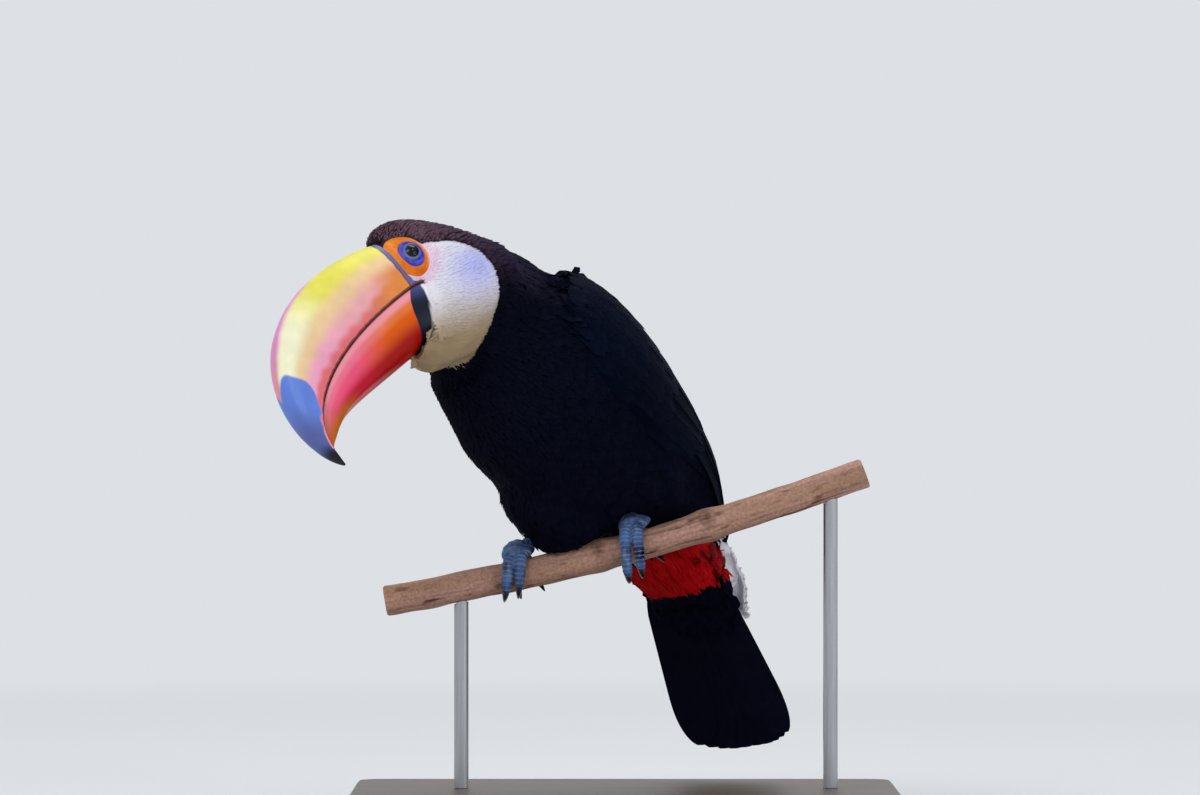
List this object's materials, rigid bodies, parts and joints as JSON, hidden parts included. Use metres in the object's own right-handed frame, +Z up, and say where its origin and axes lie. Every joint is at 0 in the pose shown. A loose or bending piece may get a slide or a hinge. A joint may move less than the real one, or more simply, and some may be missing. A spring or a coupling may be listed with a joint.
{
  "type": "toco toucan",
  "caption": "Life-size still toco toucan gripping a short cut branch, held up by a plain display stand with a flat base and rods.",
  "frame": {"origin": "centre of the underside of the stand's base", "axes": "+Z up; the perch runs along X, rising towards +X; the bird sits on it facing -X, turned towards -Y"},
  "size_m": [0.3395, 0.252, 0.3251],
  "materials": {
    "black_feather": "soft overlapping feathers, blue-black with a faint gloss",
    "crown_feather": "short loose feathers, brown-black",
    "white_feather": "short hair-like feathers, white with a lilac shade",
    "red_feather": "long loose feathers, deep red",
    "upper_bill": "smooth horn, yellow and orange with a slate-blue to black tip",
    "lower_bill": "smooth horn, orange and red",
    "eye": "wet and glossy, dark, in a blue-violet ring of skin",
    "foot": "scaled skin, grey-blue",
    "claw": "smooth black horn",
    "bark": "thin smooth bark with knots and fine cracks",
    "stand_wood": "satin varnished dark wood",
    "stand_steel": "satin steel rod"
  },
  "bodies": {
    "root": {"stand_base": "stand_wood", "stand_rod_left": "stand_steel", "stand_rod_right": "stand_steel", "perch": "bark", "bill_upper": "upper_bill", "bill_lower": "lower_bill", "eye_left": "eye", "eye_right": "eye", "head": "white_feather", "neck": "crown_feather", "trunk": "black_feather", "wing_left": "black_feather", "wing_right": "black_feather", "tail": "black_feather", "undertail_coverts": "red_feather", "uppertail_coverts": "white_feather", "thigh_left": "black_feather", "thigh_right": "black_feather", "leg_left": "foot", "leg_right": "foot", "toe_left_1": "foot", "toe_left_2": "foot", "toe_left_3": "foot", "toe_left_4": "foot", "toe_right_1": "foot", "toe_right_2": "foot", "toe_right_3": "foot", "toe_right_4": "foot", "claw_left_1": "claw", "claw_left_2": "claw", "claw_left_3": "claw", "claw_left_4": "claw", "claw_right_1": "claw", "claw_right_2": "claw", "claw_right_3": "claw", "claw_right_4": "claw"}
  },
  "joints": []
}
